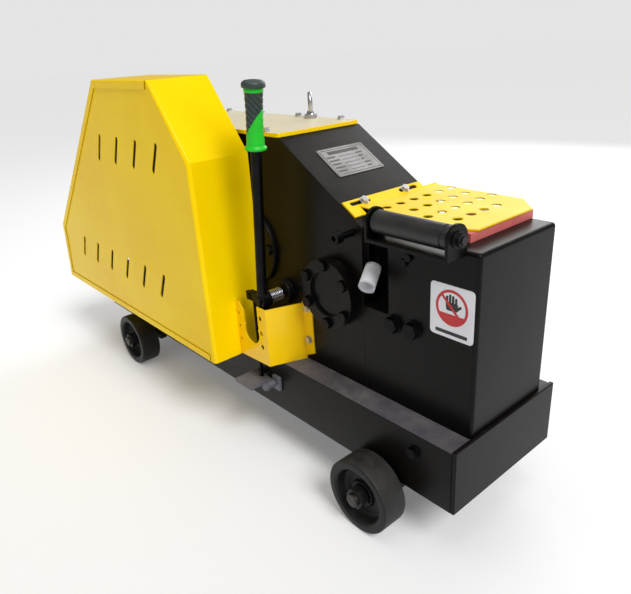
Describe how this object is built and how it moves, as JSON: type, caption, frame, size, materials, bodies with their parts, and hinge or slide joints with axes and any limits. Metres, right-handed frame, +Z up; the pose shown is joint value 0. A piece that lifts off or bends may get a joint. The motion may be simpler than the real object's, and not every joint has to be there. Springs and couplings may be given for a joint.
{
  "type": "rebar cutter",
  "caption": "Closed-type rebar cutter on a four-wheeled channel base: yellow belt guard, black press body with sloped front, throat cover, hand lever and foot pedal.",
  "frame": {"origin": "on the floor, under the middle of the overall box", "axes": "+X towards the cutting end, +Y away from the guard and lever side, +Z up"},
  "size_m": [1.36, 0.467, 0.7765],
  "materials": {
    "black_paint": "gloss",
    "wheel_iron": "matt, worn tread",
    "yellow_paint": "gloss",
    "cream_paint": "satin",
    "bright_steel": "machined, oiled",
    "tool_steel": "ground",
    "bronze": "machined",
    "spring_steel": "oil blackened",
    "belt_rubber": "matt",
    "motor_paint": "satin",
    "zinc": "zinc plated",
    "black_oxide": "black oxide",
    "grip_rubber": "moulded, two colours",
    "grey_paint": "satin",
    "engraved_plate": "etched",
    "white_vinyl": "printed film",
    "paper": "matt",
    "red_rubber": "faded"
  },
  "bodies": {
    "root": {"axle_brackets": "black_paint", "axle_nuts": "bright_steel", "axles": "bright_steel", "base_cross_plates": "black_paint", "bearing_caps": "black_paint", "black_bolts": "black_oxide", "cutting_head": "black_paint", "fan_cover": "motor_paint", "far_base_rail": "black_paint", "far_side_plate": "black_paint", "fixed_blade": "tool_steel", "floor_plate": "black_paint", "guard_panel": "yellow_paint", "guard_rim": "yellow_paint", "lever_bracket": "yellow_paint", "lifting_eye": "zinc", "motor_end_shields": "motor_paint", "motor_housing": "motor_paint", "motor_plate": "black_paint", "name_plate": "engraved_plate", "near_base_rail": "black_paint", "near_side_plate": "black_paint", "paper_tag": "paper", "pedal_hinge": "bright_steel", "ram_access_cap": "black_paint", "ram_guides": "bright_steel", "rear_plate": "black_paint", "return_spring": "spring_steel", "roller_bracket": "black_paint", "seal_strip": "red_rubber", "shaft_bushes": "bronze", "slope_plate": "black_paint", "terminal_box": "motor_paint", "throat_cover": "yellow_paint", "top_plate": "cream_paint", "v_belts": "belt_rubber", "warning_plate": "white_vinyl", "zinc_bolts": "zinc"},
    "front_near_wheel_body": {"front_near_wheel": "wheel_iron"},
    "front_far_wheel_body": {"front_far_wheel": "wheel_iron"},
    "rear_near_wheel_body": {"rear_near_wheel": "wheel_iron"},
    "rear_far_wheel_body": {"rear_far_wheel": "wheel_iron"},
    "flywheel_set": {"flywheel": "black_paint", "flywheel_shaft": "bright_steel"},
    "motor_shaft_set": {"motor_rotor": "bright_steel", "motor_pulley": "black_paint"},
    "intermediate_set": {"intermediate_shaft": "bright_steel", "intermediate_gear": "bright_steel"},
    "crank_gear_set": {"crank_gear": "bright_steel"},
    "crank_set": {"crankshaft": "bright_steel", "clutch_collar": "bright_steel"},
    "ram_set": {"ram": "bright_steel", "moving_blade": "tool_steel"},
    "roller_set": {"feed_roller": "black_paint"},
    "hand_lever": {"lever_bar": "black_paint", "lever_grip": "grip_rubber", "stop_pawl": "bright_steel"},
    "link_set": {"pedal_link": "bright_steel"},
    "pedal_set": {"foot_pedal": "grey_paint"},
    "stop_screw_set": {"stop_screw": "black_oxide"}
  },
  "joints": [
    {"name": "front_near_wheel_spin", "type": "hinge", "parent": "root", "child": "front_near_wheel_body", "pos_m": [0.515, -0.171, 0.071], "axis": [0, 1, 0], "continuous": true},
    {"name": "front_far_wheel_spin", "type": "hinge", "parent": "root", "child": "front_far_wheel_body", "pos_m": [0.515, 0.195, 0.071], "axis": [0, 1, 0], "continuous": true},
    {"name": "rear_near_wheel_spin", "type": "hinge", "parent": "root", "child": "rear_near_wheel_body", "pos_m": [-0.397, -0.171, 0.071], "axis": [0, 1, 0], "continuous": true},
    {"name": "rear_far_wheel_spin", "type": "hinge", "parent": "root", "child": "rear_far_wheel_body", "pos_m": [-0.397, 0.195, 0.071], "axis": [0, 1, 0], "continuous": true},
    {"name": "flywheel_spin", "type": "hinge", "parent": "root", "child": "flywheel_set", "pos_m": [-0.13275, -0.1815, 0.52707], "axis": [0, 1, 0], "continuous": true},
    {"name": "motor_spin", "type": "hinge", "parent": "root", "child": "motor_shaft_set", "pos_m": [-0.5, 0.0145, 0.3375], "axis": [0, 1, 0], "continuous": true},
    {"name": "intermediate_spin", "type": "hinge", "parent": "root", "child": "intermediate_set", "pos_m": [-0.10592, 0.0145, 0.37491], "axis": [0, 1, 0], "continuous": true},
    {"name": "crank_gear_spin", "type": "hinge", "parent": "root", "child": "crank_gear_set", "pos_m": [0.109, -0.0325, 0.4325], "axis": [0, 1, 0], "continuous": true},
    {"name": "crank_turn", "type": "hinge", "parent": "root", "child": "crank_set", "pos_m": [0.109, 0.0195, 0.4325], "axis": [0, 1, 0], "range_deg": [0, 180]},
    {"name": "ram_stroke", "type": "slide", "parent": "root", "child": "ram_set", "axis": [1, 0, 0], "range_m": [0, 0.04805]},
    {"name": "roller_spin", "type": "hinge", "parent": "root", "child": "roller_set", "pos_m": [0.567, -0.1115, 0.5595], "axis": [1, 0, 0], "continuous": true},
    {"name": "lever_swing", "type": "hinge", "parent": "root", "child": "hand_lever", "pos_m": [0.212, -0.1495, 0.3555], "axis": [0, -1, 0], "range_deg": [0, 15], "stiffness_Nm_per_rad": 12, "springref_deg": -20.05},
    {"name": "link_travel", "type": "slide", "parent": "root", "child": "link_set", "axis": [0, 0, -1], "range_m": [0, 0.0098]},
    {"name": "pedal_press", "type": "hinge", "parent": "root", "child": "pedal_set", "pos_m": [0.216, -0.1695, 0.1615], "axis": [0, -1, 0], "range_deg": [0, 14]},
    {"name": "stop_screw_travel", "type": "slide", "parent": "root", "child": "stop_screw_set", "axis": [0, 1, 0], "range_m": [-0.012, 0.012]}
  ],
  "couplings": [
    {"joint": "motor_spin", "follows": "flywheel_spin", "ratio": 3.7692},
    {"joint": "intermediate_spin", "follows": "flywheel_spin", "ratio": -0.24194},
    {"joint": "crank_gear_spin", "follows": "flywheel_spin", "ratio": 0.056452},
    {"joint": "ram_stroke", "follows": "crank_turn", "m_per_rad": 0.015279},
    {"joint": "link_travel", "follows": "lever_swing", "m_per_rad": 0.036579},
    {"joint": "pedal_press", "follows": "lever_swing", "ratio": 0.90048}
  ]
}
